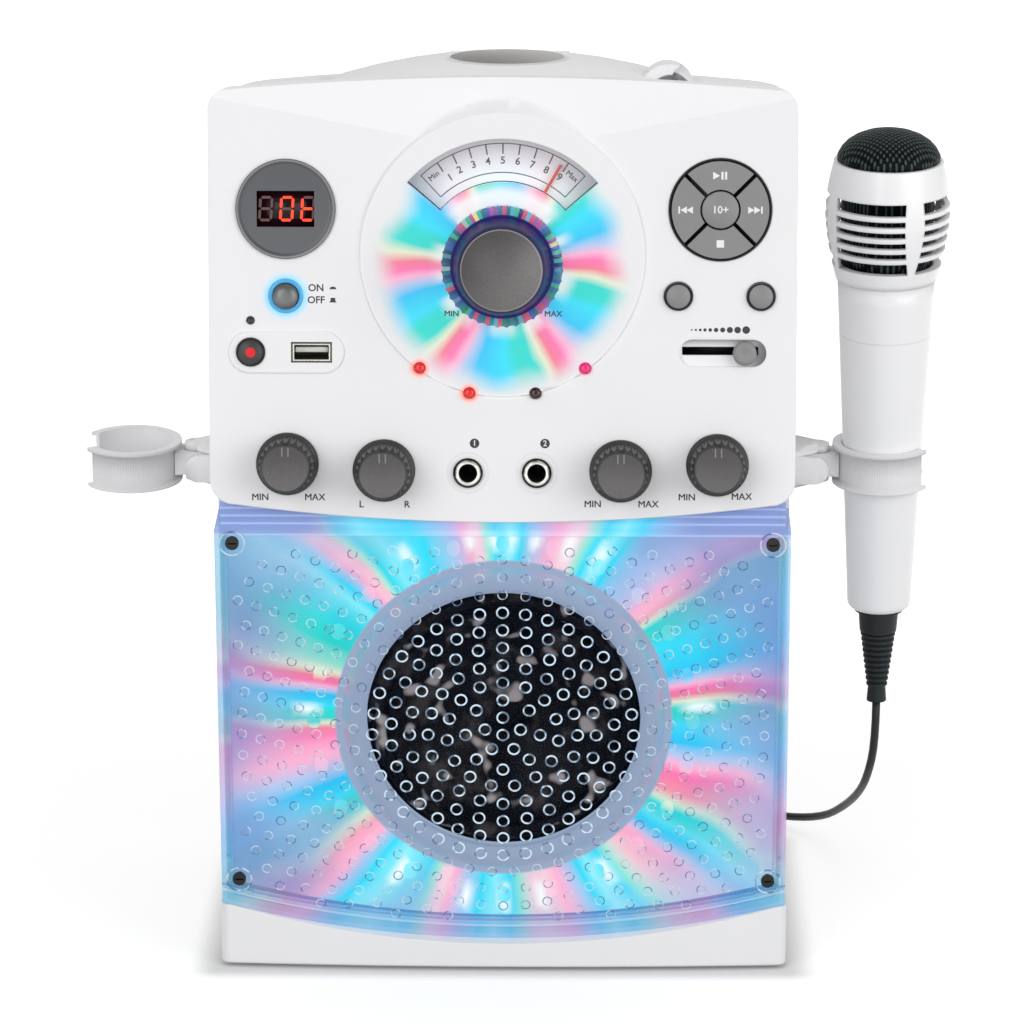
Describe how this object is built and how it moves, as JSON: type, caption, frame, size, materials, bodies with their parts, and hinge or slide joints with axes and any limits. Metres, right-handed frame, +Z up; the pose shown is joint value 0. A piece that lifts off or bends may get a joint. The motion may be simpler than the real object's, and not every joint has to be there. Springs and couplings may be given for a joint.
{
  "type": "karaoke machine",
  "caption": "Upright white karaoke machine with a clear lit speaker cover, a top disc lid, a panel of knobs and buttons, and a corded microphone in a side clip.",
  "frame": {"origin": "on the floor at the mount stand_point: on the cabinet's middle plane, 86 mm behind the lower edge of the control panel", "axes": "+Z up, the control panel faces -Y, +X to the right seen from the front"},
  "size_m": [0.3274, 0.2688, 0.3349],
  "materials": {
    "white_plastic": "gloss",
    "clip_plastic": "satin",
    "rubber_black": "matte",
    "clear_cover": "clear",
    "clear_skirt": "clear",
    "smoked_window": "clear",
    "steel": "satin",
    "reflector": "gloss",
    "frosted_ring": "frosted",
    "disco_light": "lit",
    "speaker_black": "matte",
    "basket_metal": "satin",
    "dial_grey": "satin",
    "pointer_red": "gloss",
    "knob_grey": "satin",
    "button_grey": "satin",
    "frame_dark": "satin",
    "bezel_slate": "gloss",
    "display_red": "lit",
    "power_metal": "satin",
    "power_glow": "lit",
    "light_red": "lit",
    "board_green": "satin",
    "motor_metal": "satin",
    "mesh_black": "woven",
    "plug_metal": "polished"
  },
  "bodies": {
    "cabinet": {"baffle_ring": "frosted_ring", "base_plinth": "white_plastic", "clip_brackets": "clip_plastic", "control_board": "board_green", "cord_tie": "speaker_black", "cover_screws": "steel", "dial_plate": "dial_grey", "dial_window": "clear_cover", "disc_deck": "speaker_black", "disco_leds": "disco_light", "display_bezel": "bezel_slate", "display_module": "display_red", "front_panel": "white_plastic", "indicator_leds": "light_red", "lid_hinge_pins": "steel", "main_board": "board_green", "mic_clip_left": "clip_plastic", "mic_clip_right": "clip_plastic", "mic_cord_coil": "rubber_black", "mic_jacks": "frame_dark", "mic_plug": "plug_metal", "pad_frame": "frame_dark", "pickup_rails": "steel", "power_ring": "power_glow", "rear_cabinet": "white_plastic", "rear_sockets": "frame_dark", "rubber_feet": "rubber_black", "speaker_baffle": "reflector", "speaker_cone": "speaker_black", "speaker_cover": "clear_cover", "speaker_frame": "basket_metal", "speaker_magnet": "basket_metal", "spindle_motor": "motor_metal", "usb_port": "steel"},
    "volume": {"volume_knob": "knob_grey", "volume_knob_ring": "clear_skirt"},
    "pointer": {"volume_pointer": "pointer_red"},
    "voice": {"voice_knob": "knob_grey"},
    "balance": {"balance_knob": "knob_grey"},
    "echo": {"echo_knob": "knob_grey"},
    "mic_level": {"mic_volume_knob": "knob_grey"},
    "power": {"power_button": "power_metal"},
    "record": {"record_button": "button_grey"},
    "play": {"play_button": "button_grey"},
    "previous": {"previous_button": "button_grey"},
    "next": {"next_button": "button_grey"},
    "stop": {"stop_button": "button_grey"},
    "skip": {"skip_button": "button_grey"},
    "source": {"source_button": "button_grey"},
    "repeat": {"repeat_button": "button_grey"},
    "light": {"light_slider": "knob_grey"},
    "lid": {"cd_lid": "white_plastic", "lid_window": "smoked_window"},
    "spindle": {"spindle_hub": "speaker_black"},
    "pickup": {"pickup_sled": "speaker_black"},
    "microphone": {"mic_handle": "white_plastic", "mic_head": "white_plastic", "mic_mesh": "mesh_black", "mic_boot": "rubber_black", "mic_cord": "rubber_black"}
  },
  "joints": [
    {"name": "volume_turn", "type": "hinge", "parent": "cabinet", "child": "volume", "pos_m": [0, -0.0778, 0.26974], "axis": [0, 0.9962, -0.0872], "range_deg": [-238.8, 41.2]},
    {"name": "pointer_swing", "type": "hinge", "parent": "cabinet", "child": "pointer", "pos_m": [0, -0.0778, 0.26974], "axis": [0, 0.9962, -0.0872], "range_deg": [-73.8, 12.8]},
    {"name": "voice_turn", "type": "hinge", "parent": "cabinet", "child": "voice", "pos_m": [-0.0781, -0.08414, 0.19732], "axis": [0, 0.9962, -0.0872], "range_deg": [-140, 140]},
    {"name": "balance_turn", "type": "hinge", "parent": "cabinet", "child": "balance", "pos_m": [-0.043, -0.08433, 0.19503], "axis": [0, 0.9962, -0.0872], "range_deg": [-140, 140]},
    {"name": "echo_turn", "type": "hinge", "parent": "cabinet", "child": "echo", "pos_m": [0.043, -0.08433, 0.19503], "axis": [0, 0.9962, -0.0872], "range_deg": [-140, 140]},
    {"name": "mic_level_turn", "type": "hinge", "parent": "cabinet", "child": "mic_level", "pos_m": [0.0781, -0.08414, 0.19732], "axis": [0, 0.9962, -0.0872], "range_deg": [-140, 140]},
    {"name": "power_press", "type": "slide", "parent": "cabinet", "child": "power", "axis": [0, 0.9962, -0.0872], "range_m": [0, 0.0025], "stiffness_N_per_m": 400},
    {"name": "record_press", "type": "slide", "parent": "cabinet", "child": "record", "axis": [0, 0.9962, -0.0872], "range_m": [0, 0.0012], "stiffness_N_per_m": 400},
    {"name": "play_press", "type": "slide", "parent": "cabinet", "child": "play", "axis": [0, 0.9962, -0.0872], "range_m": [0, 0.0009], "stiffness_N_per_m": 400},
    {"name": "previous_press", "type": "slide", "parent": "cabinet", "child": "previous", "axis": [0, 0.9962, -0.0872], "range_m": [0, 0.0009], "stiffness_N_per_m": 400},
    {"name": "next_press", "type": "slide", "parent": "cabinet", "child": "next", "axis": [0, 0.9962, -0.0872], "range_m": [0, 0.0009], "stiffness_N_per_m": 400},
    {"name": "stop_press", "type": "slide", "parent": "cabinet", "child": "stop", "axis": [0, 0.9962, -0.0872], "range_m": [0, 0.0009], "stiffness_N_per_m": 400},
    {"name": "skip_press", "type": "slide", "parent": "cabinet", "child": "skip", "axis": [0, 0.9962, -0.0872], "range_m": [0, 0.0009], "stiffness_N_per_m": 400},
    {"name": "source_press", "type": "slide", "parent": "cabinet", "child": "source", "axis": [0, 0.9962, -0.0872], "range_m": [0, 0.001], "stiffness_N_per_m": 400},
    {"name": "repeat_press", "type": "slide", "parent": "cabinet", "child": "repeat", "axis": [0, 0.9962, -0.0872], "range_m": [0, 0.001], "stiffness_N_per_m": 400},
    {"name": "light_slide", "type": "slide", "parent": "cabinet", "child": "light", "axis": [1, 0, 0], "range_m": [-0.0186, 0.0028]},
    {"name": "lid_open", "type": "hinge", "parent": "cabinet", "child": "lid", "pos_m": [0, 0.099, 0.3212], "axis": [-1, 0, 0], "range_deg": [0, 75]},
    {"name": "disc_spin", "type": "hinge", "parent": "cabinet", "child": "spindle", "pos_m": [0, 0.026, 0.306], "axis": [0, 0, 1], "continuous": true},
    {"name": "pickup_travel", "type": "slide", "parent": "cabinet", "child": "pickup", "axis": [1, 0, 0], "range_m": [0, 0.027]},
    {"name": "microphone_lift", "type": "slide", "parent": "cabinet", "child": "microphone", "axis": [0, -0.1045, 0.9945], "range_m": [0, 0.11], "deforming": ["mic_cord"]}
  ],
  "couplings": [
    {"joint": "pointer_swing", "follows": "volume_turn", "ratio": 0.3086}
  ]
}
